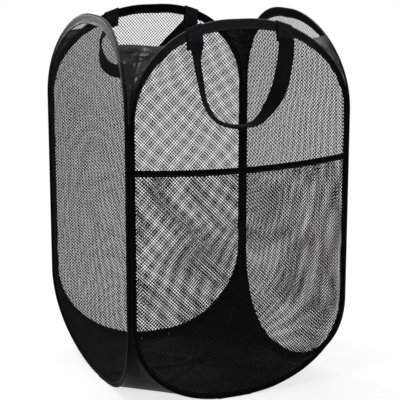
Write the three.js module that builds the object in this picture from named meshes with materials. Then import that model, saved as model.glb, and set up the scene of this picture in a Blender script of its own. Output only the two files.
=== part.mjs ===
// A square pop up laundry hamper of black net, in millimetres, with Z up and the floor at Z zero.
// Its four walls are sprung wire loops in cloth casings, each filled with net. Cloth seams join
// neighbouring casings along the straight part of each corner, so the walls fold flat as a
// parallelogram. Above and below the seams cloth gussets fill the gaps between the round loops.
// Their pull draws the loops inwards at the crown and the foot. The front wall faces -Y and
// carries a net pocket. The front and back walls carry the handles.

import * as THREE from "three";

// Overall sizes
const overallWidth = 384;
const overallHeight = 610;

// Gap between pieces that touch on the real hamper
const clearance = 0.3;

// Spring wire and the crimped ferrule over its two ends
const wireRadius = 1;
const wireEndGap = 0.6;
const ferruleLength = 20;
const ferruleWall = 0.5;

// Casing tape that is folded round the wire and over the edge of the net
const casingCloth = 0.9;
const casingLip = 0.8;
const sideBand = 8;
const topBand = 16;
const bottomBand = 10;
const ferruleRamp = 1.7;

// Loop outline: short straights at the crown and foot, long straights at the sides
const crownStraight = 28;
const sideFoot = 150;
const sideHead = 460;
const cornerSetback = 5;
const stepsPerQuarter = 8;

// How far the cloth draws the crown and the foot of each loop in towards the middle
const crownLean = 18;
const footLean = 22;

// Net
const netThickness = 0.8;
const netRoom = 0.6;
const netTuck = 2.4;
const netGapPitch = 60;
const netGapWidth = 50;
const netGapHeight = 52;
const netBorder = 4;

// Cloth of the seams, gussets and base
const seamThickness = 1;
const gussetThickness = 1;
const gussetColumns = 4;
const gussetCrease = 5;
const gussetTopSteps = 4;
const gussetFootSteps = 7;
const hemHeight = 8;
const hemThickness = 2;
const baseThickness = 1.2;
const baseCornerReach = 30;

// Pocket on the front wall
const pocketHeight = 393;
const pocketBand = 9.5;
const pocketBandThickness = 2.4;
const pocketLap = 4.5;
const pocketBow = 28;
const pocketSag = 3;
const pocketSteps = 12;

// Webbing handles
const webbingWidth = 25;
const webbingThickness = 1.5;
const handleSpacing = 152;
const anchorLeg = 30;
const handleLap = 8;
const handleDrop = 127;
const handleSwell = 15;
const handleSquareness = 2.1;
const handleFlatLength = 35;
const handleSwellStart = 10;
const handleSwellEnd = 140;
const handleTurnEnd = 165;
const handleSteps = 24;
const backHandleLean = THREE.MathUtils.degToRad(30);

// Sizes that follow from the ones above
const channelRadius = wireRadius + clearance;
const casingRadius = channelRadius + casingCloth;
const ferruleRadius = channelRadius + ferruleWall;
const ferruleChannel = ferruleRadius + clearance;
const ferruleCasing = ferruleChannel + casingCloth;
const wallDistance = overallWidth / 2 - casingRadius;
const wireHalfWidth = wallDistance - cornerSetback;
const wireTop = overallHeight - casingRadius;
const wireFoot = ferruleCasing;
const halfCrown = crownStraight / 2;
const arcHalfWidth = wireHalfWidth - halfCrown;
const headRise = wireTop - sideHead;
const footDrop = sideFoot - wireFoot;
const slotHalf = netThickness / 2 + netRoom;
const lipHalf = slotHalf + casingLip;

const wallNames = ["front", "right", "back", "left"];
const cornerNames = ["front_right", "back_right", "back_left", "front_left"];
const quarterTurn = Math.PI / 2;

const steel = new THREE.MeshStandardMaterial({ color: "#8d9094", roughness: 0.35, metalness: 1 });
const netCloth = new THREE.MeshStandardMaterial({ color: "#17181a", roughness: 0.8, metalness: 0 });
const tapeCloth = new THREE.MeshStandardMaterial({ color: "#0e0e10", roughness: 0.7, metalness: 0 });
const satin = new THREE.MeshStandardMaterial({ color: "#141416", roughness: 0.35, metalness: 0 });
const webbing = new THREE.MeshStandardMaterial({ color: "#0c0c0d", roughness: 0.8, metalness: 0 });

function meshOf(name, geometry, material) {
  const mesh = new THREE.Mesh(geometry, material.clone());
  mesh.name = name;
  return mesh;
}

// Skins a row of rings that hold as many points each. A closed row joins its last ring to its
// first. An open row is capped at both ends with the faces of its section.
function skin(rings, closed, capFaces = []) {
  const count = rings[0].length;
  const spans = closed ? rings.length : rings.length - 1;
  const index = [];
  for (let r = 0; r < spans; r++) {
    const here = r * count;
    const next = ((r + 1) % rings.length) * count;
    for (let i = 0; i < count; i++) {
      const j = (i + 1) % count;
      index.push(here + i, here + j, next + j, here + i, next + j, next + i);
    }
  }
  const last = (rings.length - 1) * count;
  for (const [i, j, k] of capFaces) {
    index.push(k, j, i, last + i, last + j, last + k);
  }
  const positions = rings.flat().flatMap((p) => [p.x, p.y, p.z]);
  const geometry = new THREE.BufferGeometry();
  geometry.setAttribute("position", new THREE.Float32BufferAttribute(positions, 3));
  geometry.setIndex(index);
  geometry.computeVertexNormals();
  return geometry;
}

function facesOf(section) {
  const contour = section.map(([x, y]) => new THREE.Vector2(x, y));
  return THREE.ShapeUtils.triangulateShape(contour, []);
}

// Distance of a wall's middle from the hamper's middle at a height. The walls stand upright along
// the corner seams and lean inwards above and below them.
function wallOut(height) {
  const aboveSeam = Math.max(0, height - sideHead) / (overallHeight - sideHead);
  const belowSeam = Math.max(0, sideFoot - height) / sideFoot;
  return wallDistance - crownLean * aboveSeam ** 2 - footLean * belowSeam ** 2;
}

// Places what is drawn about an upright plane, with y into the hamper, at the leaning front wall
function atWall(geometry) {
  const places = geometry.attributes.position;
  for (let i = 0; i < places.count; i++) {
    places.setY(i, places.getY(i) - wallOut(places.getZ(i)));
  }
  geometry.computeVertexNormals();
  return geometry;
}

// Loop outline, drawn in the wall's plane with x across the wall

// A point of the wire line on a round quarter. Turn zero is at the side and a quarter turn is at
// the crown or foot. The normal points away from the loop's middle.
function quarterPoint(sideways, upward, turn) {
  const rise = upward > 0 ? headRise : footDrop;
  const start = upward > 0 ? sideHead : sideFoot;
  const normal = new THREE.Vector2(Math.cos(turn) / arcHalfWidth, Math.sin(turn) / rise).normalize();
  const band = upward > 0 ? topBand : bottomBand;
  return {
    x: sideways * (halfCrown + arcHalfWidth * Math.cos(turn)),
    z: start + upward * rise * Math.sin(turn),
    nx: sideways * normal.x,
    nz: upward * normal.y,
    band: sideBand + (band - sideBand) * Math.sin(turn) ** 2,
    channel: channelRadius,
  };
}

function quarter(sideways, upward, towardsCrown) {
  const points = [];
  for (let i = 0; i <= stepsPerQuarter; i++) {
    const share = towardsCrown ? i / stepsPerQuarter : 1 - i / stepsPerQuarter;
    points.push(quarterPoint(sideways, upward, share * quarterTurn));
  }
  return points;
}

// The stretch of the foot where the casing swells over the ferrule
function ferruleStations() {
  const inner = ferruleLength / 2 + clearance;
  const outer = inner + ferruleRamp;
  const places = [[-outer, channelRadius], [-inner, ferruleChannel]];
  places.push([inner, ferruleChannel], [outer, channelRadius]);
  return places.map(([x, channel]) => ({ ...quarterPoint(1, -1, quarterTurn), x, channel }));
}

// The whole loop, counter-clockwise seen from outside, from the middle of the foot
function loopAfterFoot() {
  return [
    ...quarter(1, -1, false),
    ...quarter(1, 1, true),
    ...quarter(-1, 1, false),
    ...quarter(-1, -1, true),
  ];
}

const outline = [...ferruleStations(), ...loopAfterFoot()];

function offsetPoint(station, inwards) {
  return new THREE.Vector2(station.x - station.nx * inwards, station.z - station.nz * inwards);
}

// Ring of a section round one station: p runs away from the loop's middle, q into the hamper
function ringAt(station, section) {
  return section.map(([p, q]) =>
    new THREE.Vector3(station.x + station.nx * p, q, station.z + station.nz * p));
}

function circlePoints(radius, count, from, to) {
  return Array.from({ length: count }, (_, i) => {
    const angle = from + ((to - from) * i) / (count - 1);
    return [radius * Math.cos(angle), radius * Math.sin(angle)];
  });
}

// The casing's section is an open clip: a round back over the wire and two lips over the net
function casingSection(station) {
  const facets = 4;
  const back = station.channel + casingCloth;
  const hollow = station.channel / Math.cos(quarterTurn / facets);
  const reach = station.band - casingRadius;
  return [
    [-reach, -lipHalf],
    ...circlePoints(back, facets + 1, -quarterTurn, quarterTurn),
    [-reach, lipHalf],
    [-reach, slotHalf],
    ...circlePoints(hollow, facets + 1, quarterTurn, -quarterTurn),
    [-reach, -slotHalf],
  ];
}

function casingGeometry() {
  return skin(outline.map((station) => ringAt(station, casingSection(station))), true);
}

function wireGeometry() {
  const sides = 6;
  const section = circlePoints(wireRadius, sides + 1, 0, 2 * Math.PI).slice(0, sides);
  const foot = quarterPoint(1, -1, quarterTurn);
  const start = { ...foot, x: wireEndGap / 2 };
  const end = { ...foot, x: -wireEndGap / 2 };
  const stations = [start, ...loopAfterFoot(), end];
  return skin(stations.map((station) => ringAt(station, section)), false, facesOf(section));
}

function ferruleGeometry() {
  const sides = 8;
  const round = (radius) => circlePoints(radius, sides + 1, 0, 2 * Math.PI)
    .slice(0, sides).map(([x, y]) => new THREE.Vector2(x, y));
  const shape = new THREE.Shape(round(ferruleRadius));
  shape.holes.push(new THREE.Path(round(channelRadius / Math.cos(Math.PI / sides))));
  const geometry = new THREE.ExtrudeGeometry(shape, { depth: ferruleLength, bevelEnabled: false });
  geometry.translate(0, 0, -ferruleLength / 2);
  geometry.rotateY(quarterTurn);
  geometry.translate(0, 0, wireFoot);
  return geometry;
}

function insidePolygon(point, polygon) {
  let inside = false;
  polygon.forEach((a, i) => {
    const b = polygon[(i + 1) % polygon.length];
    const crosses = a.y > point.y !== b.y > point.y;
    if (crosses && point.x < a.x + ((b.x - a.x) * (point.y - a.y)) / (b.y - a.y)) {
      inside = !inside;
    }
  });
  return inside;
}

// Diamond gaps in staggered rows, each wholly inside the given border
function netGaps(border, middleHeight) {
  const half = netGapPitch / 2;
  const halfWidth = netGapWidth / 2;
  const halfHeight = netGapHeight / 2;
  const across = Math.ceil(wireHalfWidth / half);
  const along = Math.ceil(overallHeight / half);
  const gaps = [];
  for (let row = -along; row <= along; row++) {
    for (let column = -across; column <= across; column++) {
      if ((row + column) % 2 !== 0) continue;
      const x = column * half;
      const z = middleHeight + row * half;
      const diamond = [[halfWidth, 0], [0, halfHeight], [-halfWidth, 0], [0, -halfHeight]]
        .map(([across, up]) => new THREE.Vector2(x + across, z + up));
      if (diamond.every((corner) => insidePolygon(corner, border))) gaps.push(diamond);
    }
  }
  return gaps;
}

// Twice the area of a triangle, above zero when its corners run counter-clockwise
function doubleArea(a, b, c) {
  return (b.x - a.x) * (c.y - a.y) - (b.y - a.y) * (c.x - a.x);
}

// Maps each directed edge of the faces, as a pair of corners, to the third corner of its face.
// The shared edge of two faces is swapped for their other diagonal while that one is shorter, so
// that no long face cuts across a bowed net.
function edgesOf(points, faces) {
  const edges = new Map();
  const keyOf = (a, b) => `${a},${b}`;
  const addFace = (a, b, c) => {
    edges.set(keyOf(a, b), [a, b, c]);
    edges.set(keyOf(b, c), [b, c, a]);
    edges.set(keyOf(c, a), [c, a, b]);
  };
  for (const [a, b, c] of faces) {
    if (doubleArea(points[a], points[b], points[c]) > 0) addFace(a, b, c);
    else addFace(a, c, b);
  }
  const waiting = [...edges.keys()];
  while (waiting.length > 0) {
    const face = edges.get(waiting.pop());
    if (!face) continue;
    const [a, b, c] = face;
    const other = edges.get(keyOf(b, a));
    if (!other) continue;
    const d = other[2];
    const turns = [doubleArea(points[c], points[a], points[d])];
    turns.push(doubleArea(points[d], points[b], points[c]));
    const shorter = points[c].distanceTo(points[d]) < points[a].distanceTo(points[b]);
    if (!shorter || Math.min(...turns) <= 0) continue;
    edges.delete(keyOf(a, b));
    edges.delete(keyOf(b, a));
    addFace(c, a, d);
    addFace(d, b, c);
    waiting.push(keyOf(c, a), keyOf(a, d), keyOf(d, b), keyOf(b, c));
  }
  return edges;
}

// A net plate with gaps. The middle of its thickness stands outside the wall's plane by the
// distance that outsideAt gives for each place.
function netPlate(edge, border, middleHeight, outsideAt) {
  const gaps = netGaps(border, middleHeight);
  const points = [edge, ...gaps].flat();
  const edges = edgesOf(points, THREE.ShapeUtils.triangulateShape(edge, gaps));
  const layers = [netThickness / 2, -netThickness / 2];
  const positions = layers.flatMap((side) => points.flatMap(({ x, y }) =>
    [x, -outsideAt(x, y) - side, y]));
  const count = points.length;
  const index = [];
  for (const [a, b, c] of edges.values()) {
    if (a < b && a < c) index.push(a, b, c, count + a, count + c, count + b);
    if (!edges.has(`${b},${a}`)) index.push(b, a, count + a, b, count + a, count + b);
  }
  const geometry = new THREE.BufferGeometry();
  geometry.setAttribute("position", new THREE.Float32BufferAttribute(positions, 3));
  geometry.setIndex(index);
  geometry.computeVertexNormals();
  return geometry;
}

function casingBorder(stations) {
  return stations.map((station) => offsetPoint(station, station.band - casingRadius + netBorder));
}

function wallNetGeometry() {
  const stations = loopAfterFoot();
  const edge = stations.map((station) => offsetPoint(station, netTuck));
  return netPlate(edge, casingBorder(stations), (sideFoot + sideHead) / 2, () => 0);
}

// Pocket: a net that covers the lower wall and bows outwards to its bound upper edge

const pocketBandHalf = pocketBandThickness / 2;
const casingTaper = (casingRadius - lipHalf) / (sideBand - casingRadius);
const pocketOutside = casingRadius - casingTaper * pocketLap + clearance + pocketBandHalf;
const pocketHalfWidth = wireHalfWidth - pocketLap;
const pocketFoot = wireFoot + pocketLap;
const pocketNetTop = pocketHeight - pocketBand - clearance;

function pocketBowAt(x, z) {
  const drop = Math.max(0, (sideFoot - z) / (sideFoot - pocketFoot));
  const halfWidth = pocketHalfWidth * Math.sqrt(Math.max(0, 1 - drop ** 2));
  if (Math.abs(x) >= halfWidth) return 0;
  const rise = (z - pocketFoot) / (pocketNetTop - pocketFoot);
  return pocketBow * rise * rise * (1 - (x / halfWidth) ** 2);
}

function pocketSagAt(x) {
  return pocketSag * (1 - (x / pocketHalfWidth) ** 2);
}

function pocketStops() {
  return Array.from({ length: pocketSteps + 1 }, (_, i) =>
    pocketHalfWidth * (1 - (2 * i) / pocketSteps));
}

function pocketNetGeometry() {
  const foot = [...quarter(-1, -1, true), ...quarter(1, -1, false)];
  const upper = pocketStops().map((x) => new THREE.Vector2(x, pocketNetTop - pocketSagAt(x)));
  const edge = [...foot.map((station) => offsetPoint(station, pocketLap)), ...upper];
  const underBand = pocketNetTop - pocketSag - netBorder;
  const sideBorder = pocketHalfWidth - netBorder;
  const border = [
    ...casingBorder(foot),
    new THREE.Vector2(sideBorder, underBand),
    new THREE.Vector2(-sideBorder, underBand),
  ];
  const outsideAt = (x, z) => pocketOutside + pocketBowAt(x, z);
  return netPlate(edge, border, (sideFoot + sideHead) / 2, outsideAt);
}

// The tape that binds the pocket's upper edge
function pocketBindingGeometry() {
  const section = [
    [-pocketBandHalf, 0],
    [pocketBandHalf, 0],
    [pocketBandHalf, pocketBand],
    [-pocketBandHalf, pocketBand],
  ];
  const stops = pocketStops().reverse();
  const rings = stops.map((x) => {
    const middle = -pocketOutside - pocketBowAt(x, pocketNetTop);
    const foot = pocketHeight - pocketBand - pocketSagAt(x);
    return section.map(([y, z]) => new THREE.Vector3(x, middle + y, foot + z));
  });
  return skin(rings, false, facesOf(section));
}

// Corner cloth, drawn at the front right corner

const corner = new THREE.Vector3(1, 1, 0).normalize();

// The level line across the corner gap between the two casings, drawn back from both wires
function cornerChord(station, thickness) {
  const reach = casingRadius + clearance + thickness / 2;
  const inset = reach * Math.sqrt(2 / (1 + station.nx ** 2));
  const out = wallOut(station.z);
  const start = new THREE.Vector3(station.x, -out, station.z);
  const end = new THREE.Vector3(out, -station.x, station.z);
  start.addScaledVector(corner, inset);
  end.addScaledVector(corner, -inset);
  return [start, end];
}

// A sheet through rows of points, thickened equally to both sides
function sheetGeometry(rows, thickness) {
  const columns = rows[0].length;
  const at = (r, c) => rows[THREE.MathUtils.clamp(r, 0, rows.length - 1)][
    THREE.MathUtils.clamp(c, 0, columns - 1)];
  const shifted = (side) => rows.map((row, r) => row.map((point, c) => {
    const along = at(r + 1, c).clone().sub(at(r - 1, c));
    const across = at(r, c + 1).clone().sub(at(r, c - 1));
    const normal = across.cross(along).normalize();
    return point.clone().addScaledVector(normal, (side * thickness) / 2);
  }));
  const outside = shifted(1);
  const inside = shifted(-1);
  const rings = rows.map((_, r) => [...outside[r], ...inside[r].reverse()]);
  const flat = Array.from({ length: columns }, (_, c) => [c, 0]);
  const faces = facesOf([...flat, ...flat.map(([c]) => [c, 1]).reverse()]);
  return skin(rings, false, faces);
}

// Rows of the gusset between two turns of the round quarters, creased inwards down the middle
function gussetRows(upward, turns, thickness, crease) {
  const inwards = new THREE.Vector3(-1, 1, 0).normalize();
  return turns.map((turn) => {
    const [start, end] = cornerChord(quarterPoint(1, upward, turn), thickness);
    const depth = crease * Math.sin(2 * Math.min(turn, quarterTurn / 2));
    return Array.from({ length: gussetColumns + 1 }, (_, c) => {
      const share = c / gussetColumns;
      const point = start.clone().lerp(end, share);
      return point.addScaledVector(inwards, depth * Math.sin(share * Math.PI));
    });
  });
}

function turnsTo(steps) {
  return Array.from({ length: steps + 1 }, (_, i) => (i / stepsPerQuarter) * quarterTurn);
}

function topGussetGeometry() {
  const rows = gussetRows(1, turnsTo(gussetTopSteps), gussetThickness, gussetCrease);
  return sheetGeometry(rows, gussetThickness);
}

function turnAtHeight(height) {
  return Math.asin((height - sideHead) / headRise);
}

function hemGeometry() {
  const gussetTop = quarterPoint(1, 1, turnsTo(gussetTopSteps).at(-1)).z;
  const heights = [gussetTop + hemThickness / 2 + clearance];
  heights.push(heights[0] + hemHeight);
  const turns = heights.map(turnAtHeight);
  return sheetGeometry(gussetRows(1, turns, hemThickness, gussetCrease), hemThickness);
}

const baseHalf = wallOut(baseThickness) - ferruleCasing - clearance;

// Rows run from the base up to the seam, so that the sheet faces the same way as the top one
function footGussetGeometry() {
  const rows = gussetRows(-1, turnsTo(gussetFootSteps), gussetThickness, 0);
  const reach = baseCornerReach + 2 * clearance;
  const start = new THREE.Vector3(reach, -baseHalf, baseThickness / 2);
  const end = new THREE.Vector3(baseHalf, -reach, baseThickness / 2);
  const foot = Array.from({ length: gussetColumns + 1 }, (_, c) =>
    start.clone().lerp(end, c / gussetColumns));
  return sheetGeometry([foot, ...rows.reverse()], gussetThickness);
}

function cornerSeamGeometry() {
  const [start, end] = cornerChord(quarterPoint(1, 1, 0), 0);
  const height = sideHead - sideFoot - 2 * clearance;
  const geometry = new THREE.BoxGeometry(start.distanceTo(end), seamThickness, height);
  geometry.rotateZ(quarterTurn / 2);
  const middle = start.lerp(end, 0.5);
  geometry.translate(middle.x, middle.y, (sideFoot + sideHead) / 2);
  return geometry;
}

// The base is a square sheet with its corners cut where the foot gussets start
function baseGeometry() {
  const shape = new THREE.Shape();
  const near = baseCornerReach;
  const corners = [[near, -baseHalf], [baseHalf, -near], [baseHalf, near], [near, baseHalf]];
  corners.push([-near, baseHalf], [-baseHalf, near], [-baseHalf, -near], [-near, -baseHalf]);
  shape.setFromPoints(corners.map(([x, y]) => new THREE.Vector2(x, y)));
  return new THREE.ExtrudeGeometry(shape, { depth: baseThickness, bevelEnabled: false });
}

// Handles

const anchorPlace = handleSpacing / 2;
const anchorTurn = Math.acos((anchorPlace - halfCrown) / arcHalfWidth);
const anchorStation = quarterPoint(1, 1, anchorTurn);
const anchorInside = anchorStation.z + casingRadius / anchorStation.nz + clearance;
const anchorSlope = anchorStation.nx / anchorStation.nz;
const anchorHalfGap = casingRadius + clearance;
const anchorFace = anchorHalfGap + webbingThickness;
const handleHingeOut = anchorFace + clearance + webbingThickness / 2;
const handleHingeHeight = anchorInside - anchorLeg + handleLap;

// The webbing's end, folded over the casing and slanted to follow it
function anchorGeometry(sideways) {
  const section = [
    [anchorFace, -anchorLeg],
    [anchorFace, 0],
    [anchorHalfGap, webbingThickness],
    [-anchorHalfGap, webbingThickness],
    [-anchorFace, 0],
    [-anchorFace, -anchorLeg],
    [-anchorHalfGap, -anchorLeg],
    [-anchorHalfGap, 0],
    [anchorHalfGap, 0],
    [anchorHalfGap, -anchorLeg],
  ];
  const rings = [-webbingWidth / 2, webbingWidth / 2].map((across) => {
    const x = sideways * anchorPlace + across;
    const top = anchorInside - sideways * anchorSlope * across;
    return section.map(([y, z]) => new THREE.Vector3(x, y, top + z));
  });
  return skin(rings, false, facesOf(section));
}

class HandleLine extends THREE.Curve {
  getPoint(share, target = new THREE.Vector3()) {
    const angle = Math.PI * (1 - share);
    const power = 2 / handleSquareness;
    const across = Math.sign(Math.cos(angle)) * Math.abs(Math.cos(angle)) ** power;
    const down = Math.abs(Math.sin(angle)) ** power;
    return target.set(anchorPlace * across, 0, -handleDrop * down);
  }
}

// The strap hangs from its hinge line as a U. It follows the wall at both ends, and turns and
// swells outwards on the way down, so that its lower bend stands square to the wall.
function handleGeometry() {
  const line = new HandleLine();
  const length = line.getLength();
  const points = line.getSpacedPoints(handleSteps);
  const outwards = new THREE.Vector3(0, -1, 0);
  const middle = points.map((point, i) => {
    const share = i / handleSteps;
    const along = length * Math.min(share, 1 - share);
    const swell = THREE.MathUtils.smoothstep(along, handleSwellStart, handleSwellEnd);
    const bulge = wallOut(handleHingeHeight + point.z) - wallOut(handleHingeHeight);
    return point.clone().addScaledVector(outwards, bulge + handleSwell * swell);
  });
  const half = webbingWidth / 2;
  const thin = webbingThickness / 2;
  const section = [[-half, -thin], [half, -thin], [half, thin], [-half, thin]];
  const rings = middle.map((point, i) => {
    const share = i / handleSteps;
    const along = length * Math.min(share, 1 - share);
    const turn = quarterTurn * THREE.MathUtils.smoothstep(along, handleFlatLength, handleTurnEnd);
    const ahead = middle[Math.min(i + 1, handleSteps)];
    const behind = middle[Math.max(i - 1, 0)];
    const tangent = ahead.clone().sub(behind).normalize();
    if (i === 0) tangent.set(0, 0, -1);
    if (i === handleSteps) tangent.set(0, 0, 1);
    const away = new THREE.Vector3().crossVectors(tangent, outwards).normalize();
    const wide = away.multiplyScalar(Math.cos(turn)).addScaledVector(outwards, Math.sin(turn));
    const face = new THREE.Vector3().crossVectors(tangent, wide).normalize();
    return section.map(([w, f]) => point.clone().addScaledVector(wide, w).addScaledVector(face, f));
  });
  return skin(rings, false, facesOf(section));
}

// Assembly

const hamper = new THREE.Group();

wallNames.forEach((name, i) => {
  const wall = new THREE.Group();
  wall.rotation.z = i * quarterTurn;
  wall.add(meshOf(`${name}_wire_loop`, atWall(wireGeometry()), steel));
  wall.add(meshOf(`${name}_wire_ferrule`, atWall(ferruleGeometry()), steel));
  wall.add(meshOf(`${name}_casing`, atWall(casingGeometry()), tapeCloth));
  wall.add(meshOf(`${name}_net`, atWall(wallNetGeometry()), netCloth));
  if (name === "front") {
    wall.add(meshOf("pocket_net", atWall(pocketNetGeometry()), netCloth));
    wall.add(meshOf("pocket_binding", atWall(pocketBindingGeometry()), tapeCloth));
  }
  if (name === "front" || name === "back") {
    const swing = new THREE.Group();
    swing.position.set(0, -wallOut(handleHingeHeight) - handleHingeOut, handleHingeHeight);
    if (name === "back") swing.rotation.x = -backHandleLean;
    swing.add(meshOf(`${name}_handle_strap`, handleGeometry(), webbing));
    wall.add(swing);
    wall.add(meshOf(`${name}_handle_left_end`, atWall(anchorGeometry(-1)), webbing));
    wall.add(meshOf(`${name}_handle_right_end`, atWall(anchorGeometry(1)), webbing));
  }
  hamper.add(wall);
});

cornerNames.forEach((name, i) => {
  const cornerCloth = new THREE.Group();
  cornerCloth.rotation.z = i * quarterTurn;
  cornerCloth.add(meshOf(`${name}_seam`, cornerSeamGeometry(), tapeCloth));
  cornerCloth.add(meshOf(`${name}_top_gusset`, topGussetGeometry(), satin));
  cornerCloth.add(meshOf(`${name}_gusset_hem`, hemGeometry(), satin));
  cornerCloth.add(meshOf(`${name}_foot_gusset`, footGussetGeometry(), satin));
  hamper.add(cornerCloth);
});

hamper.add(meshOf("base_panel", baseGeometry(), satin));

export default hamper;
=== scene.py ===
import math
import random

import bpy
from mathutils import Matrix, Vector


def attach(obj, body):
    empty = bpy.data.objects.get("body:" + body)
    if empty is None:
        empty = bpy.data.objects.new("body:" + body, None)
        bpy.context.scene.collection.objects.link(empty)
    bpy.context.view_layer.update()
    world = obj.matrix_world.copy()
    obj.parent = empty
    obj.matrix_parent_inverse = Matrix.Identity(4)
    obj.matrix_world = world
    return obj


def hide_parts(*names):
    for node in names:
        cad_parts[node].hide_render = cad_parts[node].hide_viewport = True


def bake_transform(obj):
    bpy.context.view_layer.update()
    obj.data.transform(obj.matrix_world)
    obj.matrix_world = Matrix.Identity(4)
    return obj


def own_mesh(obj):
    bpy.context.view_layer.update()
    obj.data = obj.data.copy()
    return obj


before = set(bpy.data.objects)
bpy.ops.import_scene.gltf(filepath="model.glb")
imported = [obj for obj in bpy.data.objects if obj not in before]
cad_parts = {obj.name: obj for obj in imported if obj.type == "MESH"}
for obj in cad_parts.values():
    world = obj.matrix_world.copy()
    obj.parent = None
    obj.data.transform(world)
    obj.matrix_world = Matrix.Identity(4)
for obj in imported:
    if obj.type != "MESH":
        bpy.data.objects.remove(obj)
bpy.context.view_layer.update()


# Spring wire loops. Each wall is held open by one loop of round spring steel, drawn to 2 mm and
# closed at the foot by a crimped steel ferrule. All eight pieces lie hidden inside the casings.
def linear(hex_colour):
    shares = [int(hex_colour[i:i + 2], 16) / 255 for i in (1, 3, 5)]
    return [s / 12.92 if s <= 0.04045 else ((s + 0.055) / 1.055) ** 2.4 for s in shares] + [1.0]


def new_material(name):
    material = bpy.data.materials.new(name)
    material.use_nodes = True
    tree = material.node_tree
    return material, tree, tree.nodes["Principled BSDF"]


def add_node(tree, kind, inputs, **settings):
    made = tree.nodes.new("ShaderNode" + kind)
    for name, value in settings.items():
        setattr(made, name, value)
    for socket, value in inputs.items():
        if isinstance(value, bpy.types.NodeSocket):
            tree.links.new(value, made.inputs[socket])
        else:
            made.inputs[socket].default_value = value
    return made


def dress(piece, material):
    piece.data.materials.clear()
    piece.data.materials.append(material)


# Drawn spring steel: bright and fairly smooth, with faint dull patches of oil along the wire
def spring_steel():
    material, tree, surface = new_material("drawn_spring_steel")
    surface.inputs["Base Color"].default_value = linear("#b4b6b8")
    surface.inputs["Metallic"].default_value = 1
    place = add_node(tree, "TexCoord", {})
    patches = add_node(tree, "TexNoise", {"Vector": place.outputs["Object"], "Scale": 260, "Detail": 3})
    dulling = add_node(tree, "MapRange", {"Value": patches.outputs["Fac"], "To Min": 0.24, "To Max": 0.42})
    tree.links.new(dulling.outputs["Result"], surface.inputs["Roughness"])
    return material


steel = spring_steel()
for wall in ("front", "right", "back", "left"):
    for part in ("wire_loop", "wire_ferrule"):
        dress(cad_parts[f"{wall}_{part}"], steel)


# Casings. A long strip of black polyester tape is folded round the wire and over the edge of the
# net, and closed with one row of lockstitch beside its inner edges. It is widest at the crown,
# and its pull leaves small puckers all the way round.
MM = 0.001
WALLS = ("front", "right", "back", "left")
side_foot, side_head = 150, 460
half_crown, arc_half_width = 14, 170.8
half_width = half_crown + arc_half_width
head_rise, foot_drop = 147.8, 147
wall_distance, crown_lean, foot_lean, lean_reach = 189.8, 18, 22, 150
side_band, crown_band, foot_band = 8, 16, 10
casing_reach, tape_thickness = 2.2, 0.5
ferrule_bulge, ferrule_half, lap_start, lap_end = 0.9, 10, 40, 64


# How far a wall stands from the hamper's middle: the gussets draw its crown and its foot inwards
def wall_out(height):
    above = max(0, height - side_head) / lean_reach
    below = max(0, side_foot - height) / lean_reach
    return wall_distance - crown_lean * above ** 2 - foot_lean * below ** 2


# A point of a wall by its place across, its distance out from the wire's line and its height
def on_wall(wall, x, out, z):
    distance = wall_out(z) + out
    turn = WALLS.index(wall)
    return Vector([(x, -distance, z), (distance, x, z), (-x, distance, z), (-distance, -x, z)][turn])


# The wire's line, evenly stepped, counter-clockwise seen from outside from the middle of the foot.
# Each station has its place, its direction away from the loop's middle, the tape's visible width
# and its running length.
def loop_stations(step):
    fine = []
    for sideways, upward, towards_crown in ((1, -1, 0), (1, 1, 1), (-1, 1, 0), (-1, -1, 1)):
        if upward > 0:
            rise, start, band = head_rise, side_head, crown_band
        else:
            rise, start, band = foot_drop, side_foot, foot_band
        for i in range(91):
            turn = math.radians(i if towards_crown else 90 - i)
            normal = Vector((math.cos(turn) / arc_half_width, math.sin(turn) / rise)).normalized()
            fine.append((sideways * (half_crown + arc_half_width * math.cos(turn)),
                         start + upward * rise * math.sin(turn), sideways * normal.x,
                         upward * normal.y, side_band + (band - side_band) * math.sin(turn) ** 2))
    runs = [0]
    for a, b in zip(fine, fine[1:] + fine[:1]):
        runs.append(runs[-1] + math.hypot(b[0] - a[0], b[1] - a[1]))
    count = round(runs[-1] / step)
    stations, i = [], 0
    for k in range(count):
        run = runs[-1] * k / count
        while runs[i + 1] < run:
            i += 1
        share = (run - runs[i]) / max(runs[i + 1] - runs[i], 1e-9)
        a, b = fine[i], fine[(i + 1) % len(fine)]
        stations.append([p + (q - p) * share for p, q in zip(a, b)] + [run])
    return stations, runs[-1]


# A smooth random wobble that repeats after a length
def wobble(seed, length, shortest, height):
    chance = random.Random(seed)
    most = int(length / shortest)
    waves = [(chance.randint(max(1, most // 3), most), chance.uniform(0, 6.28), chance.uniform(0.5, 1))
             for _ in range(6)]
    return lambda run: height * sum(a * math.sin(6.2832 * k * run / length + p) for k, p, a in waves) / 3


# A cloth surface through rows of points in millimetres. Its UV map is in metres along and across.
def cloth(name, rows, along, across, closed=False):
    count = len(rows[0])
    points = [p * MM for row in rows for p in row]
    spans = len(rows) if closed else len(rows) - 1
    faces, uvs = [], []
    for r in range(spans):
        for c in range(count - 1):
            below, above = r * count, ((r + 1) % len(rows)) * count
            faces.append((below + c, below + c + 1, above + c + 1, above + c))
            for i, k in ((r, c), (r, c + 1), (r + 1, c + 1), (r + 1, c)):
                uvs += [along[i] * MM, across[k] * MM]
    mesh = bpy.data.meshes.new(name)
    mesh.from_pydata(points, [], faces)
    mesh.uv_layers.new(name="cloth").data.foreach_set("uv", uvs)
    mesh.shade_smooth()
    piece = bpy.data.objects.new(name, mesh)
    bpy.context.scene.collection.objects.link(piece)
    return piece


# Gives a sheet its thickness, with the drawn surface in the middle
def thicken(piece, thickness):
    bpy.ops.object.select_all(action="DESELECT")
    piece.select_set(True)
    bpy.context.view_layer.objects.active = piece
    solid = piece.modifiers.new("thickness", "SOLIDIFY")
    solid.thickness = thickness * MM
    solid.offset = 0
    solid.use_even_offset = True
    bpy.ops.object.modifier_apply(modifier=solid.name)


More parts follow.
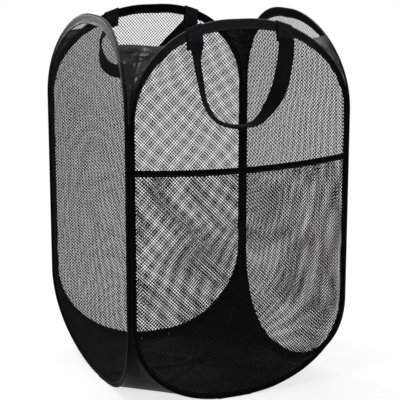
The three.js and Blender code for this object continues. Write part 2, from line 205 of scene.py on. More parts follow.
# Polyester tape: black woven ribs across the strip and slightly paler lockstitches beside the inner
# edge. It is matt where it lies loose and shiny where it is drawn tight. The ribs are drawn 1.4 mm
# apart and the stitches 5 mm long, coarser than the real ones, so that they show.
def binding_tape(name, shine, rough):
    rib, seam_inset, half_thread, half_stitch, half_gap = 0.0014, 0.0022, 0.00035, 0.003, 0.0006
    material, tree, surface = new_material(name)
    surface.inputs["Specular IOR Level"].default_value = shine
    uv = add_node(tree, "UVMap", {}, uv_map="cloth")
    part = add_node(tree, "SeparateXYZ", {"Vector": uv.outputs["UV"]})
    turns = add_node(tree, "Math", {0: part.outputs["X"], 1: 2 * math.pi / rib}, operation="MULTIPLY")
    ribs = add_node(tree, "Math", {0: turns.outputs[0]}, operation="SINE")
    place = add_node(tree, "TexCoord", {})
    fluff = add_node(tree, "TexNoise", {"Vector": place.outputs["Object"], "Scale": 900, "Detail": 4})
    shade = add_node(tree, "TexNoise", {"Vector": place.outputs["Object"], "Scale": 22, "Detail": 2})
    dark = add_node(tree, "MixRGB", {
        "Fac": shade.outputs["Fac"], "Color1": linear("#040405"), "Color2": linear("#0c0c0e")})
    # The two rows lie at the same distance from the strip's two edges, one with a negative place
    across = add_node(tree, "Math", {0: part.outputs["Y"]}, operation="ABSOLUTE")
    line = add_node(tree, "Math", {0: across.outputs[0], 1: seam_inset, 2: half_thread}, operation="COMPARE")
    beat = add_node(tree, "Math", {0: part.outputs["X"], 1: half_stitch}, operation="PINGPONG")
    sewn = add_node(tree, "Math", {0: beat.outputs[0], 1: half_gap}, operation="GREATER_THAN")
    stitched = add_node(tree, "Math", {0: line.outputs[0], 1: sewn.outputs[0]}, operation="MULTIPLY")
    colour = add_node(tree, "MixRGB", {
        "Fac": stitched.outputs[0], "Color1": dark.outputs["Color"], "Color2": linear("#232327")})
    tree.links.new(colour.outputs["Color"], surface.inputs["Base Color"])
    gloss = add_node(tree, "MapRange", {
        "Value": shade.outputs["Fac"], "To Min": rough - 0.08, "To Max": rough + 0.1})
    tree.links.new(gloss.outputs["Result"], surface.inputs["Roughness"])
    weave = add_node(tree, "Math", {
        0: ribs.outputs[0], 1: 0.25, 2: fluff.outputs["Fac"]}, operation="MULTIPLY_ADD")
    height = add_node(tree, "Math", {
        0: stitched.outputs[0], 1: 1.5, 2: weave.outputs[0]}, operation="MULTIPLY_ADD")
    bump = add_node(tree, "Bump", {"Height": height.outputs[0], "Strength": 0.5, "Distance": 0.0003})
    tree.links.new(bump.outputs["Normal"], surface.inputs["Normal"])
    return material


# The same tape from dull to shiny: it is drawn tighter towards the crown, on its outer side and,
# most of all, where it is stretched over the wire
casing_tape = binding_tape("polyester_binding_tape", 0.006, 0.4)
flat_tapes = [casing_tape] + [
    binding_tape(f"crown_tape_{n}", 0.006 * 1.65 ** n, 0.4 - 0.025 * n) for n in range(1, 6)]
wire_tapes = [binding_tape(f"tape_over_wire_{n}", 0.02 * 1.7 ** n, 0.26) for n in range(6)]
station_step, tight_from, tight_over = 4, 470, 110
stations, loop_length = loop_stations(station_step)
for number, wall in enumerate(WALLS):
    pucker = wobble(number, loop_length, 12, 0.35)
    swing = wobble(number + 10, loop_length, 60, 0.5)
    edge = wobble(number + 20, loop_length, 30, 0.5)
    rows = []
    for x, z, nx, nz, band, run in stations:
        reach = band - casing_reach + edge(run)
        # It bulges over the crimped ferrule
        bulge = ferrule_bulge if abs(x) < ferrule_half and z < side_foot else 0
        # The strip's end laps over its start beside the foot
        lap = tape_thickness if lap_start < run < lap_end else 0
        section = []
        for side in (1, -1):
            half = [(-reach, 0.85), (-reach + 1, 1.0), (-reach + 2.4, 0.8),
                    (-0.6 * reach, 1.2 + 0.5 * pucker(run)), (-0.3 * reach, 1.5 + pucker(run + 9)),
                    (-1.2, 1.95), (0.3, 2.15 + bulge), (1.55, 1.5 + bulge), (2.15 + bulge, 0.4)]
            half = [(p, side * (q + lap + 0.04 * swing(run) * (1 if p < 0 else 0))) for p, q in half]
            section += half if side > 0 else half[::-1]
        rows.append([on_wall(wall, x + nx * p, q, z + nz * p) for p, q in section])
    widths = [0]
    for a, b in zip(rows[0], rows[0][1:]):
        widths.append(widths[-1] + (b - a).length)
    middle = widths[-1] / 2
    # Measured from the inner edges: both lips run from zero at the edge, one of them backwards
    across = [w if w < middle else w - widths[-1] for w in widths]
    across[len(across) // 2 - 1] = middle
    runs = [s[5] for s in stations] + [loop_length]
    casing = cloth(f"{wall}_casing_tape", rows, runs, across, closed=True)
    for tape in flat_tapes + wire_tapes:
        casing.data.materials.append(tape)
    for face in casing.data.polygons:
        station, place = divmod(face.index, len(section) - 1)
        tightness = round(5 * max(0, min(1, (stations[station][1] - tight_from) / tight_over)))
        if 7 <= place <= 9:
            face.material_index = len(flat_tapes) + tightness
        elif place < 7:
            face.material_index = tightness
    thicken(casing, tape_thickness)
    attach(casing, f"{wall}_wall")
    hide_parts(f"{wall}_casing")


# Net walls. The panel in each loop is black knitted polyester net, with diamond holes 4 mm apart
# along the diagonals, a little coarser than the real ones, so that they show. Its edge is caught
# between the two lips of the casing.


# A place of the wall, moved back onto the loop's line less an inset where it lies outside that
def tucked(x, z, inset):
    side = math.copysign(1, x)
    if side_foot <= z <= side_head:
        return side * min(abs(x), half_width - inset), z
    rise, start, way = (head_rise, side_head, 1) if z > side_head else (foot_drop, side_foot, -1)
    across = max(abs(x) - half_crown, 0) / (arc_half_width - inset)
    away = abs(z - start) / (rise - inset)
    far = math.hypot(across, away)
    if far <= 1:
        return x, z
    return (side * (min(abs(x), half_crown) + across / far * (arc_half_width - inset)),
            start + way * away / far * (rise - inset))


# Knits a net of square cells that stand on their corners. Each cell has an eight-sided hole. The
# knots at the corners stand proud on the outside, and slow waves keep the rows from being ruled.
# The cells at the edge are drawn together where the casing grips them.
def net(name, wall, seed, inset, top_at, outside_at):
    half_cell, hole, knot = 2.83, 1.84, 0.3
    chance = random.Random(seed)
    phases = [chance.uniform(0, 6.28) for _ in range(6)]

    def waved(x, z):
        dx = 0.8 * math.sin(z / 41 + phases[0]) + 0.6 * math.sin(z / 17 + x / 60 + phases[1])
        dz = 0.8 * math.sin(x / 37 + phases[2]) + 0.6 * math.sin(x / 19 - z / 70 + phases[3])
        return x + dx, z + dz

    def placed(x, z, proud):
        x, z = tucked(x, z, inset)
        return on_wall(wall, x, outside_at(x, z) + proud, z)

    corners, points, faces = {}, [], []
    columns, layers = math.ceil(wall_distance / half_cell), math.ceil((side_head + head_rise) / half_cell) + 2
    ring = [(math.cos(math.radians(45 * k)), math.sin(math.radians(45 * k))) for k in range(8)]
    for j in range(layers):
        for i in range(-columns, columns + 1):
            x, z = i * half_cell, j * half_cell
            cx, cz = waved(x, z)
            if (i + j) % 2 or tucked(cx, cz, inset + 1) != (cx, cz) or cz > top_at(cx):
                continue
            outer = []
            for di, dj in ((1, 0), (0, 1), (-1, 0), (0, -1)):
                key = (i + di, j + dj)
                if key not in corners:
                    corners[key] = len(points)
                    points.append(placed(*waved(key[0] * half_cell, key[1] * half_cell), knot))
                outer.append(corners[key])
            size = hole * chance.uniform(0.96, 1.04)
            first = len(points)
            for a, b in ring:
                points.append(placed(cx + size * a, cz + size * b, -knot))
            for q in range(4):
                a, b = outer[q], outer[(q + 1) % 4]
                h = [first + (2 * q + n) % 8 for n in range(3)]
                faces += [(a, b, h[1]), (a, h[1], h[0]), (b, h[2], h[1])]
    mesh = bpy.data.meshes.new(name)
    mesh.from_pydata([p * MM for p in points], [], faces)
    mesh.shade_smooth()
    piece = bpy.data.objects.new(name, mesh)
    bpy.context.scene.collection.objects.link(piece)
    return piece


# Polyester yarn: deep black filaments, slightly shiny, knitted so fine that only a soft grain shows
def net_yarn():
    material, tree, surface = new_material("knitted_polyester_net")
    surface.inputs["Specular IOR Level"].default_value = 0.04
    place = add_node(tree, "TexCoord", {})
    strands = add_node(tree, "TexNoise", {"Vector": place.outputs["Object"], "Scale": 1400, "Detail": 2})
    shade = add_node(tree, "TexNoise", {"Vector": place.outputs["Object"], "Scale": 12, "Detail": 2})
    both = add_node(tree, "Math", {0: strands.outputs["Fac"], 1: shade.outputs["Fac"]}, operation="MULTIPLY")
    colour = add_node(tree, "MixRGB", {
        "Fac": both.outputs[0], "Color1": linear("#070708"), "Color2": linear("#1a1a1d")})
    tree.links.new(colour.outputs["Color"], surface.inputs["Base Color"])
    gloss = add_node(tree, "MapRange", {"Value": strands.outputs["Fac"], "To Min": 0.38, "To Max": 0.62})
    tree.links.new(gloss.outputs["Result"], surface.inputs["Roughness"])
    bump = add_node(tree, "Bump", {"Height": strands.outputs["Fac"], "Strength": 0.4, "Distance": 0.0002})
    tree.links.new(bump.outputs["Normal"], surface.inputs["Normal"])
    return material


yarn = net_yarn()
net_inset = 1.3
for number, wall in enumerate(WALLS):
    panel = net(f"{wall}_net_panel", wall, number + 40, net_inset, lambda x: math.inf, lambda x, z: 0)
    dress(panel, yarn)
    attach(panel, f"{wall}_wall")
    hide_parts(f"{wall}_net")


# Pocket. A second, looser net covers the lower wall outside. It is sewn into the casing at the
# sides and foot, and its bound upper edge bows away from the wall to leave a mouth.
pocket_half_width, pocket_top, pocket_foot = 180.3, 383.2, 7.6
mouth_bow, mouth_sag, seam_out, lip_out = 28, 3, 0.6, 2.6
pocket_inset, pocket_tuck = 2.1, 2


# Rises smoothly from 0 at the low value to 1 at the high one
def smooth_share(value, low, high):
    t = max(0, min(1, (value - low) / (high - low)))
    return t * t * (3 - 2 * t)


# How far the pocket stands out from the wall: it follows the casing's lip and bows at its mouth
def pocket_out(x, z):
    drop = max(0, (side_foot - z) / (side_foot - pocket_foot))
    reach = pocket_half_width * math.sqrt(max(0, 1 - drop ** 2))
    if abs(x) >= reach:
        return seam_out
    rise = max(0, (z - pocket_foot) / (pocket_top - pocket_foot))
    clear_of_lip = smooth_share(reach - abs(x), 2, 14) * min(1, 6 * rise)
    return seam_out + lip_out * clear_of_lip + mouth_bow * rise ** 2 * (1 - (x / reach) ** 2)


def pocket_sag(x):
    return mouth_sag * (1 - (x / pocket_half_width) ** 2)


pocket = net("pocket_net_cloth", "front", 50, pocket_inset,
             lambda x: pocket_top - pocket_sag(x) + pocket_tuck, pocket_out)
dress(pocket, yarn)
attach(pocket, "front_wall")
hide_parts("pocket_net")

# The binding tape is folded over the pocket's upper edge and sewn down with one row of stitches
binding_half, binding_foot = 181.5, 383.4
ripple = wobble(60, 360, 14, 0.25)
stops = [-binding_half + 2 * binding_half * i / 120 for i in range(121)]
rows = []
for x in stops:
    foot = binding_foot - pocket_sag(x)
    out = pocket_out(x, pocket_top)
    section = [(0, -0.9), (1.2, -0.75), (5, -0.95 + ripple(x)), (9, -0.9), (9.5, -0.4),
               (9.5, 0.4), (9, 0.9), (5, 0.95 + ripple(x)), (1.2, 0.75), (0, 0.9)]
    rows.append([on_wall("front", x, out + q, foot + p) for p, q in section])
across = [0, 1.2, 5, 9, 9.7, -9.7, -9, -5, -1.2, 0]
binding = cloth("pocket_binding_tape", rows, [x + 200 for x in stops], across)
thicken(binding, tape_thickness)
dress(binding, casing_tape)
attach(binding, "front_wall")
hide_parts("pocket_binding")


# Corner seams. Along the straight of each corner a strip of the same tape joins the two casings. It
# bows a little inwards between them, and each wall swings about the edge that is sewn to it.
CORNERS = ("front_right", "back_right", "back_left", "front_left")
inwards = Vector((-1, 1, 0)).normalized()
seam_foot, seam_length, seam_bow, seam_ripple, seam_thickness = 148, 314, 1.1, 0.25, 0.8
for number, corner in enumerate(CORNERS):
    rows = []
    for i in range(63):
        z = seam_foot + seam_length * i / 62
        start, end = on_wall("front", half_width, 0, z), on_wall("right", -half_width, 0, z)
        depth = seam_bow - seam_ripple * math.sin(i * 1.3 + number)
        row = []
        for k in range(7):
            share = 0.02 + 0.96 * k / 6
            row.append(start.lerp(end, share) + inwards * depth * math.sin(share * math.pi))
        rows.append(row)
    seam = cloth(f"{corner}_seam_tape", rows, [5 * i for i in range(63)], [1.2 * k for k in range(7)])
    seam.data.transform(Matrix.Rotation(number * math.pi / 2, 4, "Z"))
    thicken(seam, seam_thickness)
    dress(seam, casing_tape)
    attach(seam, f"{corner}_corner")
    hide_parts(f"{corner}_seam")


# Gussets. Above and below each seam a triangle of black coated taffeta fills the gap between the round loops.
# The top one ends in a folded hem, and its pull throws it into creases. Each is made in two halves that meet
# at the middle.
crown_turn, hem_foot, crown_rise, casing_room = math.radians(45), 105.3, 104.5, 1.4
gusset_bow, hem_bow, hem_wave, foot_slack, foot_ripple = 5, 5.9, 0.5, 4.5, 1.6
floor_corner_across, floor_corner_out, floor_height, taffeta_thickness = 28.4, 168.0, 0.6, 0.5


# The two ends of a gusset's level line at the front right corner, at a turn along the loops' arcs
def corner_chord(turn, upward):
    rise, start = (head_rise, side_head) if upward > 0 else (foot_drop, side_foot)
    x, z = half_crown + arc_half_width * math.cos(turn), start + upward * rise * math.sin(turn)
    diagonal = Vector((1, 1, 0)).normalized()
    first = on_wall("front", x, 0, z) + diagonal * casing_room
    last = on_wall("right", -x, 0, z) - diagonal * casing_room
    return first, last


# How far a crease line lifts the cloth at a place, all in shares of the gusset's width and height
def crease(place, a, b, width, height):
    p, a, b = Vector(place), Vector(a), Vector(b)
    along = max(0, min(1, (p - a).dot(b - a) / (b - a).length_squared))
    return height * max(0, 1 - (p - a - (b - a) * along).length / width)


# Coated taffeta: black with a soft grey sheen where a fold faces the light, and fine crumples between
# the large creases. Its plain weave is drawn 2.4 mm apart, far coarser than the real one, to show.
def taffeta(name, shine, rough):
    material, tree, surface = new_material(name)
    surface.inputs["Specular IOR Level"].default_value = shine
    uv = add_node(tree, "UVMap", {}, uv_map="cloth")
    threads = {"Vector": uv.outputs["UV"], "Scale": 130, "Distortion": 0.4}
    warp = add_node(tree, "TexWave", threads, bands_direction="X")
    weft = add_node(tree, "TexWave", threads, bands_direction="Y")
    weave = add_node(tree, "Math", {0: warp.outputs["Fac"], 1: weft.outputs["Fac"]}, operation="MULTIPLY")
    place = add_node(tree, "TexCoord", {})
    crumple = add_node(tree, "TexNoise", {
        "Vector": place.outputs["Object"], "Scale": 38, "Detail": 4, "Distortion": 1.6})
    shade = add_node(tree, "MixRGB", {
        "Fac": crumple.outputs["Fac"], "Color1": linear("#040405"), "Color2": linear("#0c0c0e")})
    tree.links.new(shade.outputs["Color"], surface.inputs["Base Color"])
    gloss = add_node(tree, "MapRange", {
        "Value": crumple.outputs["Fac"], "To Min": rough, "To Max": rough + 0.1})
    tree.links.new(gloss.outputs["Result"], surface.inputs["Roughness"])
    both = add_node(tree, "Math", {
        0: weave.outputs[0], 1: 0.012, 2: crumple.outputs["Fac"]}, operation="MULTIPLY_ADD")
    bump = add_node(tree, "Bump", {"Height": both.outputs[0], "Strength": 0.3, "Distance": 0.003})
    tree.links.new(bump.outputs["Normal"], surface.inputs["Normal"])
    return material


# The coated side shines in the top gussets, and the floor and its gussets show the dull side
satin = taffeta("coated_polyester_taffeta", 0.18, 0.2)
dull_taffeta = taffeta("taffeta_uncoated_side", 0.03, 0.4)


# Turns a half gusset to its corner. The half on the front wall's side of the front right corner is joined to
# the front wall; every other half keeps its place, with the turn baked into its mesh.
def fold_with(piece, number, half):
    turned = Matrix.Rotation(number * math.pi / 2, 4, "Z")
    piece.data.transform(turned)
    corner = CORNERS[number]
    wall = WALLS[(number + half) % 4]
    if corner == "front_right" and wall == "front":
        # The linkage is opened at this pivot, so this half stays with its wall and flattens onto it
        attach(piece, "front_wall")
        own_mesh(piece)
    else:
        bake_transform(piece)


for number, corner in enumerate(CORNERS):
    chance = random.Random(number + 70)
    folds = [((0.0, 0.84), (0.42, 0.81), 0.09, -3.0), ((0.39, 0.97), (0.55, 0.69), 0.06, -2.6),
             ((0.5, 0.66), (0.96, 0.78), 0.09, -3.2), ((0.45, 0.86), (0.9, 0.9), 0.09, 2.8),
             ((0.4, 0.92), (0.72, 0.95), 0.05, -1.6), ((0.05, 0.72), (0.42, 0.7), 0.06, -1.9),
             ((0.05, 0.6), (0.42, 0.58), 0.06, -1.9), ((0.1, 0.48), (0.45, 0.46), 0.06, -1.7),
             ((0.5, 0.55), (0.6, 0.2), 0.12, -2.5)]
    folds = [([v + chance.uniform(-0.02, 0.02) for v in a],
              [v + chance.uniform(-0.02, 0.02) for v in b], width, height)
             for a, b, width, height in folds]
    for half, side in enumerate(("left", "right")):
        rows, run = [], [0]
        for r in range(61):
            turn = crown_turn * r / 60
            first, last = corner_chord(turn, 1)
            tall = (first.z - side_head) / crown_rise
            depth = gusset_bow * math.sin(2 * turn) + 0.8 * turn
            row = []
            for k in range(25):
                share = (k / 24 + half) / 2
                lift = sum(crease((share, tall), *fold) for fold in folds)
                held = min(1, 8 * share, 8 * (1 - share)) * min(1, 4 * tall)
                inward = depth * math.sin(share * math.pi) + held * lift
                row.append(first.lerp(last, share) + inwards * inward)
            rows.append(row)
            if r:
                run.append(run[-1] + (rows[-1][12] - rows[-2][12]).length)
        gusset = cloth(f"{corner}_top_gusset_{side}", rows, run, [2 * k for k in range(25)])
        thicken(gusset, taffeta_thickness)
        dress(gusset, satin)
        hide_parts(f"{corner}_top_gusset")
        fold_with(gusset, number, half)

        # The hem is the gusset's upper edge, folded over and sewn along its foot
        section = [(-2.4, 0.6), (-1.6, 0.95), (4, 1.15), (7.4, 1.0), (8.2, 0.3)]
        section += [(p, -q) for p, q in section[::-1]]
        across = [0, 0.9, 6.4, 9.8, 10.7, -10.7, -9.8, -6.4, -0.9, 0]
        rows = []
        for k in range(33):
            share = (k / 32 + half) / 2
            depth = (hem_bow + hem_wave * math.sin(9 * share + number)) * math.sin(share * math.pi)
            lift = Vector((0, 0, hem_wave * math.sin(7 * share + 2 * number)))
            row = []
            for p, q in section:
                first, last = corner_chord(math.asin((hem_foot + p) / head_rise), 1)
                row.append(first.lerp(last, share) + inwards * (depth + q) + lift)
            rows.append(row)
        hem = cloth(f"{corner}_gusset_hem_{side}", rows, [2.4 * k for k in range(33)], across)
        thicken(hem, taffeta_thickness)
        dress(hem, satin)
        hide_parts(f"{corner}_gusset_hem")
        fold_with(hem, number, half)

        # The foot gusset widens downwards and ends at the base's corners
        rows, run = [], [0]
        for r in range(46):
            low = r / 45
            first, last = corner_chord(math.radians(min(80, 2 * r)), -1)
            if r > 40:
                share = (r - 40) / 5
                first = first.lerp(
                    Vector((floor_corner_across, -floor_corner_out, floor_height)), share)
                last = last.lerp(
                    Vector((floor_corner_out, -floor_corner_across, floor_height)), share)
            row = []
            for k in range(17):
                share = (k / 16 + half) / 2
                slack = foot_slack * math.sin(math.pi * min(1, low * 1.05)) ** 1.2
                ripple = foot_ripple * math.sin(9 * low + 5 * share + number) * math.sin(low * math.pi)
                row.append(first.lerp(last, share) + inwards * (slack + ripple) * math.sin(share * math.pi))
            rows.append(row)
            if r:
                run.append(run[-1] + (rows[-1][8] - rows[-2][8]).length)
        foot = cloth(f"{corner}_foot_gusset_{side}", rows, run, [5 * k for k in range(17)])
        thicken(foot, taffeta_thickness)
        dress(foot, dull_taffeta)
        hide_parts(f"{corner}_foot_gusset")
        fold_with(foot, number, half)


# Base. The floor is one eight-sided sheet of the same taffeta, sewn to the feet of the four loops
# and to the foot gussets. It lies flat, with low ripples from being folded away. It creases from
# corner to corner as the hamper folds, so it is cut there, and each quarter follows its wall.
base_half, base_cut, foot_line = 168.4, 196.6, 166
base_edge, base_rise, base_thickness = 0.35, 1.45, 0.6
bpy.ops.object.select_all(action="DESELECT")
bpy.ops.mesh.primitive_grid_add(x_subdivisions=84, y_subdivisions=84, size=2 * base_half * MM)
base = bpy.context.object
bpy.ops.object.mode_set(mode="EDIT")
for turn in range(4):
    away = Matrix.Rotation(turn * math.pi / 2, 3, "Z") @ Vector((1, 1, 0))
    bpy.ops.mesh.select_all(action="SELECT")
    bpy.ops.mesh.bisect(plane_co=away * base_cut / 2 * MM, plane_no=away, clear_outer=True)
bpy.ops.object.mode_set(mode="OBJECT")
base.data.uv_layers.active.name = "cloth"
for loop in base.data.loops:
    place = base.data.vertices[loop.vertex_index].co
    base.data.uv_layers["cloth"].data[loop.index].uv = (place.x, place.y)
base_folds = [((-0.1, -1.0), (0.06, 1.0), 0.07, 3.4), ((-1.0, 0.08), (1.0, -0.05), 0.06, 2.8),
              ((-0.9, -0.7), (0.1, 0.05), 0.07, 2.4), ((0.0, 0.0), (0.75, 0.85), 0.08, 2.8),
              ((-0.6, 0.95), (0.0, 0.1), 0.07, 2.1), ((0.15, -0.1), (0.9, -0.6), 0.07, 2.2)]
for vertex in base.data.vertices:
    p = vertex.co / MM
    out = max(abs(p.x) / base_half, abs(p.y) / base_half, (abs(p.x) + abs(p.y)) / base_cut)
    ripple = 0.7 * math.sin(p.x / 23 + math.sin(p.y / 31)) * math.sin(p.y / 27 + 1)
    ripple += 0.4 * math.sin((p.x + p.y) / 11)
    folded = sum(crease((p.x / base_half, p.y / base_half), *fold) for fold in base_folds)
    vertex.co.z = (base_edge + (base_rise + ripple + folded) * (1 - out ** 6)) * MM
base.data.shade_smooth()
thicken(base, base_thickness)
dress(base, dull_taffeta)
for number, wall in enumerate(WALLS):
    quarter = base.copy()
    quarter.data = base.data.copy()
    quarter.name = quarter.data.name = f"{wall}_base_cloth"
    bpy.context.scene.collection.objects.link(quarter)
    bpy.ops.object.select_all(action="DESELECT")
    quarter.select_set(True)
    bpy.context.view_layer.objects.active = quarter
    outwards = Matrix.Rotation(number * math.pi / 2, 3, "Z") @ Vector((0, -1, 0))
    bpy.ops.object.mode_set(mode="EDIT")
    for turn in (0.75, -0.75):
        away = Matrix.Rotation(turn * math.pi, 3, "Z") @ outwards
        bpy.ops.mesh.select_all(action="SELECT")
        bpy.ops.mesh.bisect(plane_co=(0, 0, 0), plane_no=away, use_fill=True, clear_outer=True)
        bpy.ops.mesh.mark_sharp()
    bpy.ops.object.mode_set(mode="OBJECT")
    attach(quarter, f"{wall}_wall")
    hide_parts("base_panel")
    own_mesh(quarter)
bpy.data.objects.remove(base)


# Handles. Each is one length of black 25 mm polypropylene webbing. Its ends are folded over the
# top of the casing and sewn through it, and the length between them hangs as a slack loop.
strap_width = 25


# Woven polypropylene: black and fairly matt, in herringbone rows drawn 1.6 mm apart that change their slant
# every 6 mm across the strap. The folds over the casing are painted a little greyer, a painted highlight
# where they lie on top of the casing, and show the thread that sews them down.
def webbing(name, sewn):
    material, tree, surface = new_material(name)
    surface.inputs["Specular IOR Level"].default_value = 0.025
    # The folds over the casing get paler colours: a painted highlight on the same webbing, not a different
    # dye
    dark, pale = ("#0e0e10", "#1c1c1f") if sewn else ("#050506", "#0e0e10")
    row_pitch, slant_width = 0.0016, 0.00625
    uv = add_node(tree, "UVMap", {}, uv_map="cloth")
    part = add_node(tree, "SeparateXYZ", {"Vector": uv.outputs["UV"]})
    slant = add_node(tree, "Math", {0: part.outputs["Y"], 1: slant_width}, operation="PINGPONG")
    lean = add_node(tree, "Math", {0: part.outputs["X"], 1: slant.outputs[0]}, operation="ADD")
    turns = add_node(tree, "Math", {0: lean.outputs[0], 1: 2 * math.pi / row_pitch}, operation="MULTIPLY")
    picks = add_node(tree, "Math", {0: turns.outputs[0]}, operation="SINE")
    place = add_node(tree, "TexCoord", {})
    grain = add_node(tree, "TexNoise", {"Vector": place.outputs["Object"], "Scale": 700, "Detail": 3})
    colour = add_node(tree, "MixRGB", {
        "Fac": grain.outputs["Fac"], "Color1": linear(dark), "Color2": linear(pale)})
    height = add_node(tree, "Math", {
        0: picks.outputs[0], 1: 0.5, 2: grain.outputs["Fac"]}, operation="MULTIPLY_ADD")
    if sewn:
        # A box of lockstitch near both ends of the fold, 18 mm long and 19 mm wide, drawn with a
        # thread of 1 mm as the difference of two boxes
        along = add_node(tree, "Math", {0: part.outputs["X"], 1: 0.034}, operation="PINGPONG")
        boxes = []
        for grown in (0.0005, -0.0005):
            length = add_node(tree, "Math", {
                0: along.outputs[0], 1: 0.013, 2: 0.009 + grown}, operation="COMPARE")
            width = add_node(tree, "Math", {
                0: part.outputs["Y"], 1: 0.0125, 2: 0.0095 + grown}, operation="COMPARE")
            boxes.append(add_node(tree, "Math", {
                0: length.outputs[0], 1: width.outputs[0]}, operation="MULTIPLY"))
        thread = add_node(tree, "Math", {
            0: boxes[0].outputs[0], 1: boxes[1].outputs[0]}, operation="SUBTRACT")
        colour = add_node(tree, "MixRGB", {
            "Fac": thread.outputs[0], "Color1": colour.outputs["Color"], "Color2": linear("#26262a")})
        height = add_node(tree, "Math", {
            0: thread.outputs[0], 1: 1.5, 2: height.outputs[0]}, operation="MULTIPLY_ADD")
    tree.links.new(colour.outputs["Color"], surface.inputs["Base Color"])
    gloss = add_node(tree, "MapRange", {"Value": grain.outputs["Fac"], "To Min": 0.42, "To Max": 0.62})
    tree.links.new(gloss.outputs["Result"], surface.inputs["Roughness"])
    bump = add_node(tree, "Bump", {"Height": height.outputs[0], "Strength": 0.6, "Distance": 0.0004})
    tree.links.new(bump.outputs["Normal"], surface.inputs["Normal"])
    return material


strap_web = webbing("woven_polypropylene_webbing", False)
sewn_painted_highlight_web = webbing("webbing_sewn_over_casing_painted_highlight", True)
# The folds lie over the casing 76 mm to either side, 0.3 mm clear of it. The strap hangs inside their front
# legs, 8 mm above their ends.
strap_span, strap_drop, fold_leg, fold_cover, fold_gap = 76, 127, 30, 8, 0.3
strap_bulge, left_slant, right_slant, strap_cup, bend_length = 15, 3, 9, 0.7, 30
strap_thickness, fold_thickness = 1.4, 1.3
anchor_turn = math.acos((strap_span - half_crown) / arc_half_width)
anchor_normal = Vector((math.cos(anchor_turn) / arc_half_width, math.sin(anchor_turn) / head_rise))
anchor_normal.normalize()
anchor_inside = side_head + head_rise * math.sin(anchor_turn) + casing_reach / anchor_normal.y + fold_gap
hinge_height = anchor_inside - fold_leg + fold_cover
hinge_out = 5.05


# The strap's line from its left end to its right end as (across, down), an oval that is squarer
# where its number is higher than 2
def strap_line(count, left_squareness, right_squareness):
    fine = []
    for i in range(1001):
        angle = math.pi * (1 - i / 1000)
        power = 2 / (left_squareness if i < 500 else right_squareness)
        across = math.copysign(abs(math.cos(angle)) ** power, math.cos(angle))
        fine.append((strap_span * across, strap_drop * math.sin(angle) ** power if 0 < i < 1000 else 0))
    runs = [0]
    for a, b in zip(fine, fine[1:]):
        runs.append(runs[-1] + math.hypot(b[0] - a[0], b[1] - a[1]))
    line, i = [], 0
    for k in range(count + 1):
        run = runs[-1] * k / count
        while i < 999 and runs[i + 1] < run:
            i += 1
        share = (run - runs[i]) / max(runs[i + 1] - runs[i], 1e-9)
        line.append([p + (q - p) * share for p, q in zip(fine[i], fine[i + 1])])
    return line, runs[-1]


# The strap's turn out of the wall's plane in degrees, by the length from its left or right end
STRAP_TURNS = {
    "front": (((0, 0), (12, 26), (26, 42), (70, 50), (108, 60), (135, 78), (170, 90)),
              ((0, 0), (20, 22), (60, 32), (92, 54), (125, 84), (170, 90))),
    "back": (((0, 0), (20, -22), (60, -30), (110, -40), (170, -55)),
             ((0, 0), (14, -34), (40, -42), (62, -66), (85, -60), (110, -50), (170, -55)))}


def read_steps(value, steps):
    for (a, low), (b, high) in zip(steps, steps[1:]):
        if value <= b:
            return low + (high - low) * max(0, value - a) / (b - a)
    return steps[-1][1]


